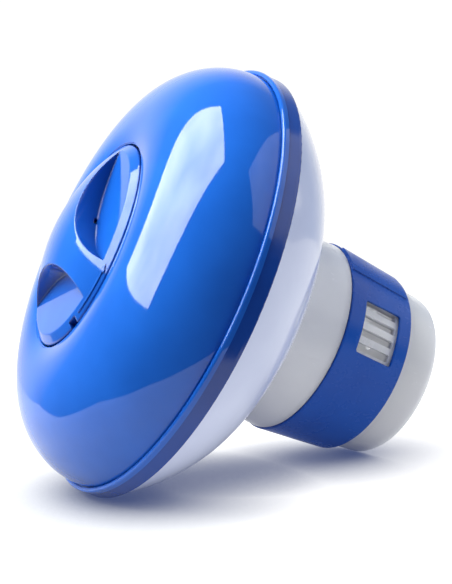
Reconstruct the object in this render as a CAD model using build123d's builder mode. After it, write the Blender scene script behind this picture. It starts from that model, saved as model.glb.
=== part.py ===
from build123d import *
import os
from math import asin, cos, degrees, radians, sin

# A floating chlorine dispenser: a hollow two-shell float on a canister of tablets.
# All lengths are in millimetres. +Z is the symmetry axis, with the lid on top.
# The origin is the centre of the canister's base.

# ---------------------------------------------------------------- driving dimensions
FLOAT_R = 101.6          # the widest radius: an 8 inch float
BAND_Z = 123.0           # lower edge of the rim band
LIP_Z = 129.3            # underside of the dome's lip
LIP_TOP = 131.9          # top of the dome's rounded lip
LIP_R = 101.5
LIP_IN_R = 99.45
GROOVE_Z = 130.4         # floor of the groove between the lip and the dome
DOME_R = 99.2            # the dome at the groove
RABBET_R = 96.6          # the dome's inner edge, where the bowl's rim enters
TONGUE_R = 94.4          # guide ring inside the bowl's rim
CROWN_R = 57.0           # radius of the dome's highest ring
CROWN_Z = 168.0
SKIN = 2.3               # wall of the two shells
BOWL_TOP_R = 100.7       # the bowl under the band
BOWL_RIM_R = 98.9        # the bowl's rim, behind the band
BOWL_RIM_Z = 128.5
BOWL_LOW_R = 49.0
BOWL_LOW_Z = 86.2
NECK_HOLE_R = 44.4       # hole in the bowl for the canister
BAND_IN_R = 99.0
BAND_TOP_R = 101.2
BAND_GAP = 0.05

MOUTH_R = 48.4           # hole for the lid
MOUTH_Z = 166.7
SOCKET_Z = 147.6         # top of the seat for the canister's flange
SOCKET_HOLE_R = 44.0
SOCKET_WALL = 2.0
GASKET_T = 0.6
TUBE_R = 43.4            # canister inside the float
NECK_R = 45.3            # canister between the float and the collar
NECK_Z = 84.0            # canister's shoulder, under the bowl
SHOULDER_R = 46.6
NECK_LOW_R = 47.3        # canister's neck widens to this, just above the collar
NECK_LOW_Z = 56.2
COLLAR_TOP = 55.9
COLLAR_BOTTOM = 20.3
CONE_TOP_R = 46.2        # canister at the collar's top edge
CONE_LOW_R = 43.9        # canister's cone, carried on down to the collar's bottom edge
CUP_R = 42.6             # canister just under the collar
SEAT_Z = 21.7            # the cone starts here, hidden by the collar
BASE_R = 41.15           # canister at the base, before its edge is rounded
COLLAR_TOP_R = 47.9
COLLAR_LOW_R = 45.6
COLLAR_GAP = 0.35        # running gap between the collar and the canister

COLLAR_TURN = 36.0       # the collar's travel from open to closed
PAD_START = -37.0        # raised thumb pad on the collar
PAD_ARC = 24.0
PAD_RISE = 0.6
PAD_IN_R = 45.0          # where the pad starts inside the collar's wall
VENT_COUNT = 2
VENT_ANGLE = -69.5       # centre of the first window
WINDOW_W = 24.9
WINDOW_LOW = 27.2
WINDOW_TOP = 47.8
SLOT_W = 3.6
SLOT_PITCH = 8.53        # degrees from slot to slot
SLOTS = 4
SLOT_LOW = 28.7
SLOT_TOP = 50.0

LID_R = 47.6
LID_EDGE_Z = 166.9
LID_TOP = 180.9
LID_WALL = 2.2
LID_UNDER = 164.2
SKIRT_R = 44.4
SKIRT_Z = 150.9
POCKETS = 3
POCKET_ANGLE = -46.0     # centre line of the first finger pocket
POCKET_OFFSET = 60.7     # from the lid's axis to the centre of a pocket's wall
POCKET_R = 45.5
POCKET_FLOOR = 169.3
SLIT_W = 3.0             # small slit at the foot of a pocket's wall
SLIT_H = 1.4
NOTCH_ANGLE = -133.0     # square notch in the lid's rim
ARROW_START = -126.0     # raised arrow beside the rim
ARROW_END = -99.0
ARROW_R = 45.6
LUG_ARC = 36.0
GAP_ARC = 50.0
LEDGE_ARC = 360 / POCKETS - GAP_ARC
STOP_ARC = 6.0           # blocks that end the lid's turn
STOP_START = 66.0        # from the middle of a gap to a block
POST_R = 44.9            # inner radius of the bayonet's ledges
RAIL_R = 46.9            # inner and outer radius of the bayonet ring
RAIL_OUT_R = 48.3
RAIL_TOP = 157.0
SEAL_R = 40.3
SEAL_OUT_R = 42.25
SEAL_TOP = 160.0


# ---------------------------------------------------------------- helpers
def radial_plane(angle):
    """An upright plane through the Z axis: local X is the radius, local Y is Z."""
    a = radians(angle)
    return Plane(origin=(0, 0, 0), x_dir=(cos(a), sin(a), 0), z_dir=(sin(a), -cos(a), 0))


def facing_plane(angle, height, distance=0):
    """An upright plane that faces outwards from the axis: local X is tangential, local Y is Z."""
    a = radians(angle)
    origin = (distance * cos(a), distance * sin(a), height)
    return Plane(origin=origin, x_dir=(-sin(a), cos(a), 0), z_dir=(cos(a), sin(a), 0))


def cone_r(z):
    """Outer radius of the canister's tapered part at the height z."""
    return CONE_LOW_R + (z - COLLAR_BOTTOM) * (CONE_TOP_R - CONE_LOW_R) / (COLLAR_TOP - COLLAR_BOTTOM)


def collar_r(z):
    """Outer radius of the collar at the height z."""
    return COLLAR_LOW_R + (z - COLLAR_BOTTOM) * (COLLAR_TOP_R - COLLAR_LOW_R) / (COLLAR_TOP - COLLAR_BOTTOM)


def ring(r_in, r_out, z_low, z_high):
    """A rectangle of a ring's section, inside a sketch on the XZ plane."""
    with Locations(((r_in + r_out) / 2, (z_low + z_high) / 2)):
        Rectangle(r_out - r_in, z_high - z_low)


def soft_edge(part, radius, amount, z=None):
    """Round the circular edges of one radius, and of one height where it is given."""
    edges = part.edges().filter_by(GeomType.CIRCLE)
    edges = edges.filter_by(lambda e: abs(e.radius - radius) < 0.01)
    if z is not None:
        edges = edges.filter_by(lambda e: abs(e.center().Z - z) < 0.01)
    fillet(edges, amount)


os.makedirs("parts", exist_ok=True)

# ---------------------------------------------------------------- float dome
# The upper shell: a quarter ellipse from the groove to the crown, then a shallow dish
# down to the mouth, a socket for the canister and the lid, and a lip that meets the bowl.
dome_a = DOME_R - CROWN_R
dome_b = CROWN_Z - GROOVE_Z
dish_mid = (CROWN_R + MOUTH_R) / 2
dish_drop = CROWN_Z - MOUTH_Z

with BuildPart() as float_dome:
    with BuildSketch(Plane.XZ):
        with BuildLine():
            outer = EllipticalCenterArc((CROWN_R, GROOVE_Z), dome_a, dome_b, 0, arc_size=90)
            dish = ThreePointArc(outer @ 1, (dish_mid, CROWN_Z - dish_drop / 4), (MOUTH_R, MOUTH_Z))
            mouth = Line(dish @ 1, (MOUTH_R, MOUTH_Z - SKIN))
            under = Line(mouth @ 1, (CROWN_R, CROWN_Z - SKIN))
            inner = EllipticalCenterArc((CROWN_R, GROOVE_Z), dome_a - SKIN, dome_b - SKIN, 0, arc_size=90)
            Line(inner @ 0, outer @ 0)
        make_face()
        ring(RABBET_R, LIP_R, LIP_Z, GROOVE_Z)
        ring(LIP_IN_R, LIP_R, GROOVE_Z, LIP_TOP)
        ring(TONGUE_R, RABBET_R + 0.1, LIP_Z - 4.8, GROOVE_Z + SKIN)
        ring(MOUTH_R, MOUTH_R + SOCKET_WALL, SOCKET_Z - SOCKET_WALL, MOUTH_Z - 0.6)
        ring(SOCKET_HOLE_R, MOUTH_R + SOCKET_WALL, SOCKET_Z - SOCKET_WALL, SOCKET_Z)
    revolve(axis=Axis.Z)
    soft_edge(float_dome, LIP_R, 1.1, LIP_TOP)
    soft_edge(float_dome, LIP_IN_R, 0.7, LIP_TOP)
    soft_edge(float_dome, MOUTH_R, 0.6, MOUTH_Z)

# ---------------------------------------------------------------- float bowl
# The lower shell: steep under the band, then flatter towards the canister's neck.
bowl_top = (BOWL_TOP_R, BAND_Z)
bowl_low = (BOWL_LOW_R, BOWL_LOW_Z)
with BuildPart() as float_bowl:
    with BuildSketch(Plane.XZ):
        with BuildLine():
            wall = Spline(
                bowl_top, (88.4, 104.4), (73.8, 91.9), bowl_low,
                tangents=((-0.42, -0.91), (-1.0, -0.12)),
            )
            foot = Line(wall @ 1, (NECK_HOLE_R, BOWL_LOW_Z - 0.5))
            hole = Line(foot @ 1, (NECK_HOLE_R, BOWL_LOW_Z + 2.0))
            back = Line(hole @ 1, (BOWL_LOW_R, BOWL_LOW_Z + 2.4))
            inner_wall = Spline(
                back @ 1, (72.9, 94.2), (86.8, 106.1), (97.8, BAND_Z),
                tangents=((1.0, 0.12), (0.42, 0.91)),
            )
            Line(inner_wall @ 1, wall @ 0)
        make_face()
        ring(RABBET_R + 0.15, BOWL_RIM_R, BAND_Z, BOWL_RIM_Z)
    revolve(axis=Axis.Z)

# ---------------------------------------------------------------- rim band and seals
with BuildPart() as rim_band:
    with BuildSketch(Plane.XZ):
        with BuildLine():
            Polyline(
                (BAND_IN_R, BAND_Z + BAND_GAP), (FLOAT_R, BAND_Z + BAND_GAP), (FLOAT_R, BAND_Z + 1.5),
                (BAND_TOP_R, LIP_Z - BAND_GAP), (BAND_IN_R, LIP_Z - BAND_GAP), close=True,
            )
        make_face()
    revolve(axis=Axis.Z)
    soft_edge(rim_band, FLOAT_R, 0.5, BAND_Z + BAND_GAP)

with BuildPart() as rim_seal:
    with BuildSketch(Plane.XZ):
        ring(RABBET_R + 0.3, BOWL_RIM_R - 0.1, BOWL_RIM_Z, LIP_Z)
    revolve(axis=Axis.Z)

with BuildPart() as mouth_gasket:
    with BuildSketch(Plane.XZ):
        ring(SOCKET_HOLE_R + 0.6, MOUTH_R - 0.4, SOCKET_Z, SOCKET_Z + GASKET_T)
    revolve(axis=Axis.Z)

with BuildPart() as neck_seal:
    with BuildSketch(Plane.XZ):
        ring(NECK_HOLE_R, SHOULDER_R - 0.4, NECK_Z, BOWL_LOW_Z - 0.5)
    revolve(axis=Axis.Z)

# ---------------------------------------------------------------- canister
# One tapered tube for the tablets: a flange and a spigot in the mouth, a shoulder under
# the bowl, a plain neck, a slotted cone inside the collar and a closed base with drains.
FLANGE_LOW = SOCKET_Z + GASKET_T
FLANGE_TOP = FLANGE_LOW + 2.2
FLANGE_R = 47.9
SPIGOT_R = 42.0
SPIGOT_TOP = 158.0
BORE_R = 40.6            # inside the upper tube
NECK_BORE_R = 42.5
BASE_T = 2.6
CONE_BORE_R = 43.4
SLOT_BORE_R = 41.6
BASE_BORE_R = 38.6
BEAD_R = 0.6
BEAD_Z = 23.6            # ring that snaps into the collar
STOP_Z = 52.0            # block that limits the collar's turn
STOP_OUT = 0.6

with BuildPart() as canister:
    with BuildSketch(Plane.XZ):
        with BuildLine():
            Polyline(
                (0, 0), (BASE_R, 0), (CUP_R, COLLAR_BOTTOM), (cone_r(SEAT_Z), SEAT_Z),
                (CONE_TOP_R, COLLAR_TOP), (CONE_TOP_R, NECK_LOW_Z),
                (NECK_LOW_R, NECK_LOW_Z), (NECK_R, NECK_Z - 3.5), (SHOULDER_R, NECK_Z), (TUBE_R, NECK_Z),
                (TUBE_R, FLANGE_LOW), (FLANGE_R, FLANGE_LOW), (FLANGE_R, FLANGE_TOP), (SPIGOT_R, FLANGE_TOP),
                (SPIGOT_R, SPIGOT_TOP), (BORE_R, SPIGOT_TOP), (BORE_R, NECK_Z + 2), (NECK_BORE_R, NECK_Z - 2),
                (CONE_BORE_R, COLLAR_TOP), (SLOT_BORE_R, SLOT_LOW - 2.7), (BASE_BORE_R, BASE_T),
                (0, BASE_T), close=True,
            )
        make_face()
        with Locations((cone_r(BEAD_Z), BEAD_Z)):
            Circle(BEAD_R)
    revolve(axis=Axis.Z)
    soft_edge(canister, BASE_R, 3.0)
    soft_edge(canister, SHOULDER_R, 0.5)
    soft_edge(canister, NECK_LOW_R, 0.4)
    for vent in range(VENT_COUNT):
        for slot in range(SLOTS):
            turn = VENT_ANGLE + 1.2 + vent * 360 / VENT_COUNT + (slot - (SLOTS - 1) / 2) * SLOT_PITCH
            with BuildSketch(facing_plane(turn, (SLOT_LOW + SLOT_TOP) / 2)):
                RectangleRounded(SLOT_W, SLOT_TOP - SLOT_LOW, 0.6)
            extrude(amount=60, mode=Mode.SUBTRACT)
    with BuildSketch(Plane.XY):
        Circle(3.0)
        with PolarLocations(22, 6):
            Circle(3.0)
    extrude(amount=10, mode=Mode.SUBTRACT)
    with BuildSketch(facing_plane(VENT_ANGLE + 90, STOP_Z)):
        Rectangle(4.0, 3.0)
    extrude(amount=cone_r(STOP_Z) + STOP_OUT)
    with BuildSketch(facing_plane(VENT_ANGLE + 90, STOP_Z)):
        Rectangle(6.0, 5.0)
    extrude(amount=CONE_BORE_R - 0.6, mode=Mode.SUBTRACT)

# ---------------------------------------------------------------- mouth ring
# The bayonet ring that holds the canister's flange down: three ledges and three stops.
LEDGE_Z = 154.0
with BuildPart() as mouth_ring:
    with BuildSketch(Plane.XZ):
        ring(RAIL_R, RAIL_OUT_R, FLANGE_TOP, RAIL_TOP)
    revolve(axis=Axis.Z)
    for sector in range(POCKETS):
        gap_centre = POCKET_ANGLE + sector * 360 / POCKETS
        with BuildSketch(radial_plane(gap_centre + GAP_ARC / 2)):
            ring(POST_R, RAIL_R + 0.3, LEDGE_Z, RAIL_TOP)
        revolve(axis=Axis.Z, revolution_arc=LEDGE_ARC)
        with BuildSketch(radial_plane(gap_centre + STOP_START)):
            ring(POST_R, RAIL_R + 0.3, FLANGE_TOP, LEDGE_Z)
        revolve(axis=Axis.Z, revolution_arc=STOP_ARC)

# ---------------------------------------------------------------- lid
# A shallow spherical cap with three pockets for the fingers. A pocket's wall is a cylinder
# and its floor is flat, so that its outer edge is where the floor meets the cap.
cap_rise = LID_TOP - LID_EDGE_Z
cap_r = (LID_R ** 2 + cap_rise ** 2) / (2 * cap_rise)
cap_z = LID_TOP - cap_r

with BuildPart() as lid_hollow:
    with BuildSketch(Plane.XZ):
        with BuildLine():
            Polyline((0, cap_z + cap_r - LID_WALL), (0, 150), (SKIRT_R - 2, 150), (SKIRT_R - 2, 165.0))
            reach = degrees(asin((SKIRT_R - 2) / (cap_r - LID_WALL)))
            under_cap = CenterArc((0, cap_z), cap_r - LID_WALL, 90 - reach, reach)
            Line((SKIRT_R - 2, 165.0), under_cap @ 0)
        make_face()
    revolve(axis=Axis.Z)
    with BuildSketch(Plane.XY.offset(POCKET_FLOOR - LID_WALL)):
        with PolarLocations(POCKET_OFFSET, POCKETS, start_angle=POCKET_ANGLE):
            Circle(POCKET_R + 2)
    extrude(amount=30, mode=Mode.SUBTRACT)

with BuildPart() as arrow:
    with BuildSketch(Plane.XY.offset(LID_EDGE_Z - 4)):
        with BuildLine():
            Polyline(
                (0, 0), Vector(60, 0).rotate(Axis.Z, ARROW_START), Vector(70, 0).rotate(Axis.Z, -112),
                Vector(60, 0).rotate(Axis.Z, ARROW_END), close=True,
            )
        make_face()
        Circle(ARROW_R + 0.35, mode=Mode.INTERSECT)
        Circle(ARROW_R - 0.35, mode=Mode.SUBTRACT)
        with PolarLocations(ARROW_R, 1, start_angle=ARROW_END + 1.5):
            Triangle(a=2.4, b=3.6, c=3.6, rotation=0, align=(Align.CENTER, Align.CENTER))
    extrude(amount=20)
    with BuildSketch(Plane.XZ):
        with BuildLine():
            Polyline((0, cap_z + cap_r + 0.35), (0, cap_z), (cap_r + 0.35, cap_z))
            CenterArc((0, cap_z), cap_r + 0.35, 0, 90)
        make_face()
    revolve(axis=Axis.Z, mode=Mode.INTERSECT)

with BuildPart() as lid:
    with BuildSketch(Plane.XZ):
        with BuildLine():
            span = degrees(asin(LID_R / cap_r))
            cap = CenterArc((0, cap_z), cap_r, 90 - span, span)
            Polyline(
                cap @ 0, (LID_R, LID_UNDER), (SKIRT_R, LID_UNDER), (SKIRT_R, SKIRT_Z), (0, SKIRT_Z),
                cap @ 1,
            )
        make_face()
    revolve(axis=Axis.Z)
    soft_edge(lid, LID_R, 0.7, LID_EDGE_Z)
    add(lid_hollow.part, mode=Mode.SUBTRACT)
    with BuildSketch(Plane.XY.offset(POCKET_FLOOR)):
        with PolarLocations(POCKET_OFFSET, POCKETS, start_angle=POCKET_ANGLE):
            Circle(POCKET_R)
    extrude(amount=20, mode=Mode.SUBTRACT)
    for pocket in range(POCKETS):
        turn = POCKET_ANGLE + pocket * 360 / POCKETS
        with BuildSketch(facing_plane(turn, POCKET_FLOOR + SLIT_H / 2, 10)):
            Rectangle(SLIT_W, SLIT_H)
        extrude(amount=10, mode=Mode.SUBTRACT)
    with BuildSketch(facing_plane(NOTCH_ANGLE, LID_EDGE_Z, 45)):
        Rectangle(5.0, 8.0)
    extrude(amount=5, mode=Mode.SUBTRACT)
    add(arrow.part)
    with BuildSketch(Plane.XZ):
        ring(SEAL_R - 0.3, SKIRT_R - 1.4, SEAL_TOP, SEAL_TOP + 1.8)
    revolve(axis=Axis.Z)
    for lug in range(POCKETS):
        with BuildSketch(radial_plane(POCKET_ANGLE + lug * 360 / POCKETS - LUG_ARC / 2)):
            ring(SKIRT_R - 1, 46.4, SKIRT_Z, 153.6)
        revolve(axis=Axis.Z, revolution_arc=LUG_ARC)

with BuildPart() as lid_seal:
    with BuildSketch(Plane.XZ):
        ring(SEAL_R, SEAL_OUT_R, SPIGOT_TOP, SEAL_TOP)
    revolve(axis=Axis.Z)

# ---------------------------------------------------------------- vent collar
with BuildPart() as vent_collar:
    with BuildSketch(Plane.XZ):
        with BuildLine():
            Polyline(
                (cone_r(COLLAR_BOTTOM) + COLLAR_GAP, COLLAR_BOTTOM), (COLLAR_LOW_R, COLLAR_BOTTOM),
                (COLLAR_TOP_R, COLLAR_TOP), (cone_r(COLLAR_TOP) + COLLAR_GAP, COLLAR_TOP), close=True,
            )
        make_face()
        with Locations((cone_r(BEAD_Z), BEAD_Z)):
            Circle(BEAD_R + COLLAR_GAP, mode=Mode.SUBTRACT)
    revolve(axis=Axis.Z)
    soft_edge(vent_collar, COLLAR_TOP_R, 0.4)
    soft_edge(vent_collar, COLLAR_LOW_R, 0.4)
    with BuildSketch(radial_plane(PAD_START)):
        with BuildLine():
            Polyline(
                (PAD_IN_R, COLLAR_BOTTOM + 2), (collar_r(COLLAR_BOTTOM) + PAD_RISE, COLLAR_BOTTOM + 2),
                (collar_r(COLLAR_TOP) + PAD_RISE, COLLAR_TOP - 0.6), (PAD_IN_R + 2, COLLAR_TOP - 0.6), close=True,
            )
        make_face()
    revolve(axis=Axis.Z, revolution_arc=PAD_ARC)
    for vent in range(VENT_COUNT):
        turn = VENT_ANGLE + vent * 360 / VENT_COUNT
        with BuildSketch(facing_plane(turn, (WINDOW_LOW + WINDOW_TOP) / 2)):
            RectangleRounded(WINDOW_W, WINDOW_TOP - WINDOW_LOW, 1.2)
        extrude(amount=60, mode=Mode.SUBTRACT)
    stop_reach = degrees(2.0 / cone_r(STOP_Z)) + 0.7
    with BuildSketch(radial_plane(VENT_ANGLE + 90 - COLLAR_TURN - stop_reach)):
        ring(PAD_IN_R, cone_r(STOP_Z) + STOP_OUT + 0.35, STOP_Z - 1.9, STOP_Z + 1.9)
    revolve(axis=Axis.Z, revolution_arc=COLLAR_TURN + 2 * stop_reach, mode=Mode.SUBTRACT)

# ---------------------------------------------------------------- labels and files
float_dome.part.label = "float_dome"
float_bowl.part.label = "float_bowl"
rim_band.part.label = "rim_band"
rim_seal.part.label = "rim_seal"
mouth_gasket.part.label = "mouth_gasket"
neck_seal.part.label = "neck_seal"
canister.part.label = "canister"
mouth_ring.part.label = "mouth_ring"
lid.part.label = "lid"
lid_seal.part.label = "lid_seal"
vent_collar.part.label = "vent_collar"

export_step(float_dome.part, "parts/float_dome.step")
export_step(float_bowl.part, "parts/float_bowl.step")
export_step(rim_band.part, "parts/rim_band.step")
export_step(rim_seal.part, "parts/rim_seal.step")
export_step(mouth_gasket.part, "parts/mouth_gasket.step")
export_step(neck_seal.part, "parts/neck_seal.step")
export_step(canister.part, "parts/canister.step")
export_step(mouth_ring.part, "parts/mouth_ring.step")
export_step(lid.part, "parts/lid.step")
export_step(lid_seal.part, "parts/lid_seal.step")
export_step(vent_collar.part, "parts/vent_collar.step")
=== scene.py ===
import bpy
import math
from mathutils import Matrix, Vector


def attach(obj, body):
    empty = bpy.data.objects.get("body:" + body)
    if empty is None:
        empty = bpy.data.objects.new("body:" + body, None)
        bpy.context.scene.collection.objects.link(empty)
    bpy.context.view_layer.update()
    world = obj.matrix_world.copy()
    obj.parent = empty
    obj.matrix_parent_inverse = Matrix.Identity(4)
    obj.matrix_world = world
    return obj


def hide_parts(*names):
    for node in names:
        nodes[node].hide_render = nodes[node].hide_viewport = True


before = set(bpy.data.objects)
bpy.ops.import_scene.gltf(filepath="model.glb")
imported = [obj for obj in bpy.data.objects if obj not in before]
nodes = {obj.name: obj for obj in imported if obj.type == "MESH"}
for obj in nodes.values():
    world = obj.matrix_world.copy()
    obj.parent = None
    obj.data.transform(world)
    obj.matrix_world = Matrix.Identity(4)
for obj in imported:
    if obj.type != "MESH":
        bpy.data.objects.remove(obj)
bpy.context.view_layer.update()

# Lengths are in metres, except where a comment says millimetres.

# ---------------------------------------------------------------- camera
# The dispenser lies on its rim band and on the edge of its base, so the camera is rolled.
CAMERA_AT = Vector((0.0, -0.4452, 0.2851))
CAMERA_AIM = Vector((0.0056, 0.0, 0.0964))
CAMERA_ROLL = math.radians(-66.02)
CAMERA_LENS = 63.83         # millimetres
CAMERA_NEAR = 0.01

camera_data = bpy.data.cameras.new("camera")
camera_data.lens = CAMERA_LENS
camera_data.clip_start = CAMERA_NEAR
camera = bpy.data.objects.new("camera", camera_data)
bpy.context.scene.collection.objects.link(camera)
look = (CAMERA_AIM - CAMERA_AT).to_track_quat("-Z", "Y").to_matrix().to_4x4()
camera.matrix_world = Matrix.Translation(CAMERA_AT) @ look @ Matrix.Rotation(CAMERA_ROLL, 4, "Z")
bpy.context.scene.camera = camera
bpy.context.scene.view_settings.view_transform = "Standard"

# The picture's own right, up and towards-the-camera directions.
VIEW_RIGHT, VIEW_UP, VIEW_BACK = (camera.matrix_world.to_3x3().col[i].copy() for i in range(3))

# The floor's own directions. It touches the rim band and the edge of the canister's base.
FLOOR_UP = Vector((0.883, 0.140, 0.448)).normalized()
FLOOR_RIGHT = (VIEW_RIGHT - FLOOR_UP * VIEW_RIGHT.dot(FLOOR_UP)).normalized()
FLOOR_FRONT = FLOOR_RIGHT.cross(FLOOR_UP).normalized()


# ---------------------------------------------------------------- node helpers
def link(tree, a, a_socket, b, b_socket):
    """Joins an output of node a to an input of node b."""
    tree.links.new(a.outputs[a_socket], b.inputs[b_socket])


def noise(tree, coords, scale, detail=2.0, roughness=0.5, stretch=None):
    """A noise texture in the object's own metres; a stretch draws it out along one axis."""
    n = tree.nodes.new("ShaderNodeTexNoise")
    n.inputs["Scale"].default_value = scale
    n.inputs["Detail"].default_value = detail
    n.inputs["Roughness"].default_value = roughness
    if stretch is None:
        link(tree, coords, "Object", n, "Vector")
    else:
        m = tree.nodes.new("ShaderNodeMapping")
        m.inputs["Scale"].default_value = stretch
        link(tree, coords, "Object", m, "Vector")
        link(tree, m, "Vector", n, "Vector")
    return n


def spread(tree, source, socket, from_low, from_high, to_low, to_high):
    """Maps a value from one range to another, clamped."""
    n = tree.nodes.new("ShaderNodeMapRange")
    n.inputs["From Min"].default_value = from_low
    n.inputs["From Max"].default_value = from_high
    n.inputs["To Min"].default_value = to_low
    n.inputs["To Max"].default_value = to_high
    link(tree, source, socket, n, "Value")
    return n


# Sizes of the plastics' detail, as noise scales per metre.
CLOUD = 28.0                # clouded pigment
FLOW = 60.0                 # slow waves that moulding leaves
RUBBED = 75.0               # patches rubbed by hands and water
HAIRLINE = 420.0            # fine scratches, drawn out by HAIR_STRETCH
HAIR_STRETCH = (1.0, 0.05, 0.35)
GRAIN = 2600.0              # the mould's own texture
WAVE_HEIGHT = 0.0004
WAVE_STRENGTH = 0.03
GRAIN_HEIGHT = 0.00004
PLASTIC_IOR = 1.5
COAT_ROUGHNESS = 0.03
BEVEL_SAMPLES = 8
# Painted shade in hollows: the ambient occlusion samples, and the tint that darkens the colour there.
PAINTED_SHADE_SAMPLES = 8
PAINTED_SHADE_TINT = (0.3, 0.3, 0.45)


def colour_mix(tree, low, high=None):
    """A colour mix whose first colour is fixed; the second may be fixed or linked later."""
    n = tree.nodes.new("ShaderNodeMix")
    n.data_type = "RGBA"
    n.inputs[6].default_value = (*low, 1.0)
    if high is not None:
        n.inputs[7].default_value = (*high, 1.0)
    return n


def pigment(tree, coords, deep, pale, painted_shade_width):
    """Clouded colour, with painted shade that darkens hollows narrower than the given width. Returns the
    colour's socket.
    """
    cloud = noise(tree, coords, CLOUD, 3.0, 0.55)
    tint = colour_mix(tree, deep, pale)
    amount = spread(tree, cloud, "Fac", 0.3, 0.7, 0.0, 1.0)
    link(tree, amount, "Result", tint, 0)
    if not painted_shade_width:
        return tint.outputs[2]
    # Painted shade: where ambient occlusion finds a hollow, the colour is darkened towards the tint.
    near = tree.nodes.new("ShaderNodeAmbientOcclusion")
    near.samples = PAINTED_SHADE_SAMPLES
    near.inputs["Distance"].default_value = painted_shade_width
    open_part = spread(tree, near, "AO", 0.35, 0.95, 0.0, 1.0)
    painted_shade_mix = colour_mix(tree, [c * t for c, t in zip(deep, PAINTED_SHADE_TINT)])
    link(tree, open_part, "Result", painted_shade_mix, 0)
    tree.links.new(tint.outputs[2], painted_shade_mix.inputs[7])
    return painted_shade_mix.outputs[2]


def worn_gloss(tree, coords, shine, scuff):
    """Roughness that rises in rubbed patches and along hairline scratches."""
    rubbed = noise(tree, coords, RUBBED, 4.0, 0.6)
    rub = spread(tree, rubbed, "Fac", 0.5, 0.75, shine, shine + scuff)
    hair = noise(tree, coords, HAIRLINE, 2.0, 0.6, HAIR_STRETCH)
    lines = spread(tree, hair, "Fac", 0.66, 0.74, 0.0, scuff * 0.6)
    total = tree.nodes.new("ShaderNodeMath")
    total.operation = "ADD"
    link(tree, rub, "Result", total, 0)
    link(tree, lines, "Result", total, 1)
    return total


def moulded_skin(tree, coords, grain, edge):
    """Slow waves under fine grain, with edges softened by the radius edge where it isn't 0."""
    skin = noise(tree, coords, GRAIN, 2.0, 0.5)
    flow = noise(tree, coords, FLOW, 1.0, 0.5)
    wave = tree.nodes.new("ShaderNodeBump")
    wave.inputs["Strength"].default_value = WAVE_STRENGTH
    wave.inputs["Distance"].default_value = WAVE_HEIGHT
    link(tree, flow, "Fac", wave, "Height")
    if edge:
        bevel = tree.nodes.new("ShaderNodeBevel")
        bevel.samples = BEVEL_SAMPLES
        bevel.inputs["Radius"].default_value = edge
        link(tree, bevel, "Normal", wave, "Normal")
    fine = tree.nodes.new("ShaderNodeBump")
    fine.inputs["Strength"].default_value = grain
    fine.inputs["Distance"].default_value = GRAIN_HEIGHT
    link(tree, skin, "Fac", fine, "Height")
    link(tree, wave, "Normal", fine, "Normal")
    return fine


def plastic(
    name, deep, pale, shine, grain, edge=0.0, scuff=0.12, coat=0.0, through=0.0, painted_shade_width=0.0, mirror=0.5,
):
    """Moulded plastic: clouded pigment with painted shade in hollows, fine grain, rubbed patches,
    hairline scratches, soft edges.

    deep and pale are the pigment's two colours, shine the clean roughness and scuff what wear adds to
    it, grain the strength of the mould's texture, edge the radius that softens edges, coat a clear
    gloss, through the depth that light soaks in, painted_shade_width the width of hollows that get
    painted shade, and mirror the specular level.
    """
    m = bpy.data.materials.new(name)
    m.use_nodes = True
    tree = m.node_tree
    surface = tree.nodes["Principled BSDF"]
    coords = tree.nodes.new("ShaderNodeTexCoord")
    tree.links.new(pigment(tree, coords, deep, pale, painted_shade_width), surface.inputs["Base Color"])
    link(tree, worn_gloss(tree, coords, shine, scuff), "Value", surface, "Roughness")
    link(tree, moulded_skin(tree, coords, grain, edge), "Normal", surface, "Normal")
    surface.inputs["IOR"].default_value = PLASTIC_IOR
    surface.inputs["Specular IOR Level"].default_value = mirror
    if coat:
        surface.inputs["Coat Weight"].default_value = coat
        surface.inputs["Coat Roughness"].default_value = COAT_ROUGHNESS
    if through:
        surface.inputs["Subsurface Weight"].default_value = 1.0
        surface.inputs["Subsurface Radius"].default_value = (1.0, 1.0, 1.0)
        surface.inputs["Subsurface Scale"].default_value = through
    return m


# ---------------------------------------------------------------- materials
BLUE_DEEP, BLUE_PALE = (0.008, 0.094, 0.45), (0.011, 0.118, 0.54)
MATERIALS = {
    "dome": plastic("blue_gloss", BLUE_DEEP, BLUE_PALE, shine=0.045, grain=0.03, scuff=0.05),
    # The lid's colour has painted shade in its pockets and other hollows.
    "lid": plastic(
        "blue_gloss_lid", BLUE_DEEP, BLUE_PALE, shine=0.06, grain=0.03, edge=0.0012, scuff=0.05,
        painted_shade_width=0.02, mirror=0.42,
    ),
    # Painted shade: the rim band is the dome's blue plastic, and these darker colours stand in for the
    # shade on its upright wall.
    "band": plastic(
        "blue_band", (0.003, 0.04, 0.25), (0.004, 0.055, 0.32), shine=0.16, grain=0.08, coat=0.1,
    ),
    "collar": plastic(
        "blue_satin", (0.001, 0.062, 0.37), (0.002, 0.08, 0.43), shine=0.26, grain=0.2, edge=0.0006,
        mirror=0.28,
    ),
    "bowl": plastic(
        "white_gloss", (0.65, 0.70, 0.90), (0.71, 0.76, 0.95), shine=0.1, grain=0.05, scuff=0.1, coat=0.2,
    ),
    "canister": plastic(
        "white_satin", (0.85, 0.85, 0.94), (0.89, 0.89, 0.97), shine=0.24, grain=0.12, edge=0.0005,
        scuff=0.05, through=0.01,
    ),
    "ring": plastic(
        "white_ring", (0.64, 0.64, 0.66), (0.72, 0.72, 0.73), shine=0.24, grain=0.12, edge=0.0003,
    ),
    "seal": plastic(
        "seal_rubber", (0.012, 0.012, 0.013), (0.03, 0.03, 0.032), shine=0.55, grain=0.5, edge=0.0002,
    ),
}
WEARS = {
    "float_dome": "dome", "lid": "lid", "rim_band": "band", "vent_collar": "collar",
    "float_bowl": "bowl", "canister": "canister", "mouth_ring": "ring",
    "rim_seal": "seal", "mouth_gasket": "seal", "neck_seal": "seal", "lid_seal": "seal",
}
for name, kind in WEARS.items():
    nodes[name].data.materials.clear()
    nodes[name].data.materials.append(MATERIALS[kind])


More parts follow.
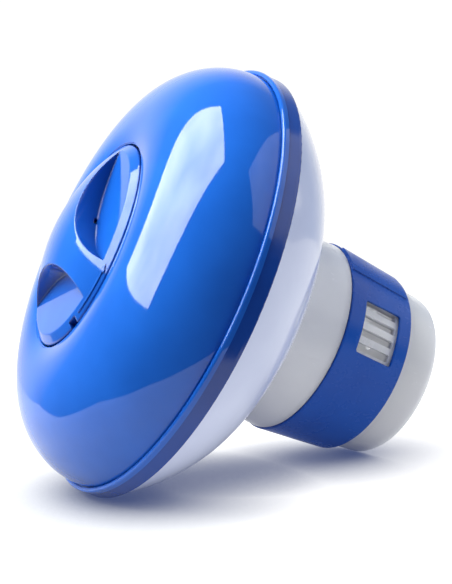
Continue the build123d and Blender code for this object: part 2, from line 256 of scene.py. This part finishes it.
# ---------------------------------------------------------------- the dome's finely turned skin
# Radii and heights of the CAD dome, in millimetres.
MM = 0.001
CROWN_R, CROWN_Z = 57.0, 168.0
DOME_R, GROOVE_Z = 99.2, 130.4
SKIN = 2.3
LIP_IN, LIP_OUT, LIP_LOW, LIP_TOP = 99.45, 101.5, 129.3, 131.9
LIP_ROUND_OUT, LIP_ROUND_IN = 1.1, 0.7
RABBET_R, GUIDE_R, GUIDE_LOW, GUIDE_TOP = 96.6, 94.4, 124.5, 132.7
MOUTH_R, MOUTH_Z = 48.4, 166.7
MOUTH_ROUND, MOUTH_DROP = 0.6, 0.7
SOCKET_LOW, SOCKET_TOP, SOCKET_IN, SOCKET_OUT = 145.6, 147.6, 44.0, 50.4
SOCKET_ROOF = 1.0           # the socket's outer wall ends this far under the crown's inside
DISH_STEPS = (0.25, 0.5, 0.75, 0.92)
TURNED = 288                # steps round the axis
SHARP = 35.0                # degrees between faces from which an edge stays sharp


def arc(centre_r, centre_z, a, b, start, end, steps):
    """Points of an ellipse's arc in the half plane of radius and height; the angles are in degrees."""
    out = []
    for i in range(steps + 1):
        t = math.radians(start + (end - start) * i / steps)
        out.append((centre_r + a * math.cos(t), centre_z + b * math.sin(t)))
    return out


def turned(name, profile, material):
    """Turns a closed profile (radius and height in millimetres) round the Z axis."""
    count = len(profile)
    points, faces = [], []
    for i in range(TURNED):
        t = 2 * math.pi * i / TURNED
        points += [(r * MM * math.cos(t), r * MM * math.sin(t), z * MM) for r, z in profile]
    for i in range(TURNED):
        j = (i + 1) % TURNED
        for k in range(count):
            n = (k + 1) % count
            faces.append((i * count + k, j * count + k, j * count + n, i * count + n))
    mesh = bpy.data.meshes.new(name)
    mesh.from_pydata(points, [], faces)
    mesh.validate()
    for face in mesh.polygons:
        face.use_smooth = True
    mesh.set_sharp_from_angle(angle=math.radians(SHARP))
    obj = bpy.data.objects.new(name, mesh)
    obj.data.materials.append(material)
    bpy.context.scene.collection.objects.link(obj)
    return obj


dome_profile = arc(CROWN_R, GROOVE_Z, DOME_R - CROWN_R, CROWN_Z - GROOVE_Z, 0, 90, 64)
dome_profile += [
    (CROWN_R + (MOUTH_R - CROWN_R) * t, CROWN_Z - (CROWN_Z - MOUTH_Z) * t * t) for t in DISH_STEPS
]
dome_profile += arc(MOUTH_R + MOUTH_ROUND, MOUTH_Z - MOUTH_DROP, MOUTH_ROUND, MOUTH_ROUND, 100, 180, 6)
dome_profile += [
    (MOUTH_R, SOCKET_TOP), (SOCKET_IN, SOCKET_TOP), (SOCKET_IN, SOCKET_LOW), (SOCKET_OUT, SOCKET_LOW),
    (SOCKET_OUT, CROWN_Z - SKIN - SOCKET_ROOF),
]
dome_profile += arc(CROWN_R, GROOVE_Z, DOME_R - CROWN_R - SKIN, CROWN_Z - GROOVE_Z - SKIN, 90, 8, 24)
dome_profile += [
    (GUIDE_R, GUIDE_TOP), (GUIDE_R, GUIDE_LOW), (RABBET_R, GUIDE_LOW), (RABBET_R, LIP_LOW),
    (LIP_OUT, LIP_LOW),
]
dome_profile += arc(
    LIP_OUT - LIP_ROUND_OUT, LIP_TOP - LIP_ROUND_OUT, LIP_ROUND_OUT, LIP_ROUND_OUT, 0, 90, 12
)
dome_profile += arc(LIP_IN + LIP_ROUND_IN, LIP_TOP - LIP_ROUND_IN, LIP_ROUND_IN, LIP_ROUND_IN, 90, 180, 8)
dome_profile += [(LIP_IN, GROOVE_Z)]
dome = turned("dome_skin", dome_profile, MATERIALS["dome"])
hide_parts("float_dome")
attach(dome, "float")

# ---------------------------------------------------------------- stage
CENTRE = Vector((0.0, 0.0, 0.09))
CARD_DISTANCE = 1.1
CARD_MOTTLE = 2.2           # noise scale of the cards' uneven glow
CARD_DIM, CARD_BRIGHT = 0.85, 1.4

REST_POINT = Vector((-0.1006, -0.0159, 0.123))   # where the rim band lies on the floor
FLOOR_CLEARANCE = 0.0004
FLOOR_BASE = (0.13, 0.13, 0.13, 1.0)
FLOOR_ROUGHNESS = 0.7
SHADOW_COLOUR = (0.045, 0.065, 0.16)
SHADOW_REACH = 0.048        # how far the contact shadow spreads
SHADOW_SAMPLES = 12
FLOOR_GLOW, FLOOR_GLOW_SEEN = 0.85, 1.06         # as light on the object, and as the camera sees it
# A paper sweep with a rounded near corner, as right and front distances from the row's origin.
FLOOR_EDGE = [
    (1.3, 0.23), (-0.10, 0.225), (-0.165, 0.212), (-0.279, 0.147), (-0.319, 0.029), (-0.665, -0.354),
    (-1.1, -1.3), (1.3, -1.3),
]
WHITE = (1.0, 1.0, 1.0)


def lean(x, y, z):
    """A direction given as right, up and towards the camera in the picture."""
    return VIEW_RIGHT * x + VIEW_UP * y + VIEW_BACK * z


def sheet_of(name, corners, material):
    """A flat one-face sheet with the given corners."""
    mesh = bpy.data.meshes.new(name)
    mesh.from_pydata([tuple(c) for c in corners], [], [list(range(len(corners)))])
    obj = bpy.data.objects.new(name, mesh)
    obj.data.materials.append(material)
    bpy.context.scene.collection.objects.link(obj)
    return obj


def glow_material(name, colour, strength):
    """A light card's glow, slightly uneven as a cloth diffuser's is."""
    m = bpy.data.materials.new(name)
    m.use_nodes = True
    tree = m.node_tree
    tree.nodes.clear()
    light = tree.nodes.new("ShaderNodeEmission")
    light.inputs["Color"].default_value = (*colour, 1.0)
    coords = tree.nodes.new("ShaderNodeTexCoord")
    folds = noise(tree, coords, CARD_MOTTLE, 2.0, 0.5)
    uneven = spread(tree, folds, "Fac", 0.3, 0.7, strength * CARD_DIM, strength * CARD_BRIGHT)
    link(tree, uneven, "Result", light, "Strength")
    out = tree.nodes.new("ShaderNodeOutputMaterial")
    link(tree, light, "Emission", out, "Surface")
    return m


def card(name, directions, colour, strength):
    """A flat glowing card that faces the dispenser, with its corners in the given directions."""
    aims = [lean(*d).normalized() for d in directions]
    facing = sum(aims, Vector()).normalized()
    corners = [CENTRE + a * (CARD_DISTANCE / a.dot(facing)) for a in aims]
    obj = sheet_of(name, corners, glow_material(name + "_glow", colour, strength))
    obj.visible_camera = False
    return obj


def paper_material():
    """Bright paper that darkens near what lies on it, and is clear from below."""
    m = bpy.data.materials.new("floor")
    m.use_nodes = True
    tree = m.node_tree
    surface = tree.nodes["Principled BSDF"]
    surface.inputs["Base Color"].default_value = FLOOR_BASE
    surface.inputs["Roughness"].default_value = FLOOR_ROUGHNESS
    near = tree.nodes.new("ShaderNodeAmbientOcclusion")
    near.samples = SHADOW_SAMPLES
    near.inputs["Distance"].default_value = SHADOW_REACH
    shade = colour_mix(tree, SHADOW_COLOUR, WHITE)
    soft = spread(tree, near, "AO", 0.2, 0.92, 0.0, 1.0)
    link(tree, soft, "Result", shade, 0)
    tree.links.new(shade.outputs[2], surface.inputs["Emission Color"])
    ray = tree.nodes.new("ShaderNodeLightPath")
    power = spread(tree, ray, "Is Camera Ray", 0.0, 1.0, FLOOR_GLOW, FLOOR_GLOW_SEEN)
    link(tree, power, "Result", surface, "Emission Strength")
    side = tree.nodes.new("ShaderNodeNewGeometry")
    clear = tree.nodes.new("ShaderNodeBsdfTransparent")
    mix = tree.nodes.new("ShaderNodeMixShader")
    link(tree, side, "Backfacing", mix, 0)
    link(tree, surface, "BSDF", mix, 1)
    link(tree, clear, "BSDF", mix, 2)
    link(tree, mix, "Shader", tree.nodes["Material Output"], "Surface")
    return m


floor_level = REST_POINT.dot(FLOOR_UP) - FLOOR_CLEARANCE
floor = sheet_of(
    "floor",
    [FLOOR_RIGHT * x + FLOOR_FRONT * f + FLOOR_UP * floor_level for x, f in reversed(FLOOR_EDGE)],
    paper_material(),
)
softbox = card("softbox", [
    (-0.415, 0.866, -0.281), (-0.171, 0.965, -0.2), (-0.14, 0.911, 0.388), (-0.837, 0.162, 0.524),
    (-0.874, 0.366, -0.319),
], (0.97, 1.0, 0.98), 8.5)
fill = card("fill", [
    (0.46, 0.88, 0.05), (0.274, 0.839, 0.471), (0.53, 0.45, 0.72), (0.95, 0.1, 0.4), (0.95, 0.2, -0.5),
    (0.7, 0.8, -0.4),
], (0.96, 0.98, 1.0), 1.25)

# ---------------------------------------------------------------- the room
# The camera sees plain white. The object reflects a dim room with a white wall behind it.
WALL_AT = lean(-0.1, 0.1, -1.0).normalized()
WHITE_STRENGTH = 1.05
ROOM_STRENGTH = 1.0
ROOM_STOPS = [(0.2, (0.08, 0.11, 0.20)), (0.84, (0.22, 0.30, 0.46)), (0.95, WHITE)]

world = bpy.data.worlds.new("studio")
world.use_nodes = True
sky = world.node_tree
plain_white = sky.nodes["Background"]
plain_white.inputs["Color"].default_value = (*WHITE, 1.0)
plain_white.inputs["Strength"].default_value = WHITE_STRENGTH
room = sky.nodes.new("ShaderNodeBackground")
room.inputs["Strength"].default_value = ROOM_STRENGTH
ray = sky.nodes.new("ShaderNodeLightPath")
choose = sky.nodes.new("ShaderNodeMixShader")
link(sky, ray, "Is Camera Ray", choose, 0)
link(sky, room, "Background", choose, 1)
link(sky, plain_white, "Background", choose, 2)
link(sky, choose, "Shader", sky.nodes["World Output"], "Surface")
sky_coords = sky.nodes.new("ShaderNodeTexCoord")
behind = sky.nodes.new("ShaderNodeVectorMath")
behind.operation = "DOT_PRODUCT"
behind.inputs[1].default_value = tuple(WALL_AT)
link(sky, sky_coords, "Generated", behind, 0)
ramp = sky.nodes.new("ShaderNodeValToRGB")
remap = spread(sky, behind, "Value", -1.0, 1.0, 0.0, 1.0)
link(sky, remap, "Result", ramp, "Fac")
link(sky, ramp, "Color", room, "Color")
stops = ramp.color_ramp.elements
stops.remove(stops[1])
stops[0].position = ROOM_STOPS[0][0]
stops[0].color = (*ROOM_STOPS[0][1], 1.0)
for position, colour in ROOM_STOPS[1:]:
    stops.new(position).color = (*colour, 1.0)
bpy.context.scene.world = world
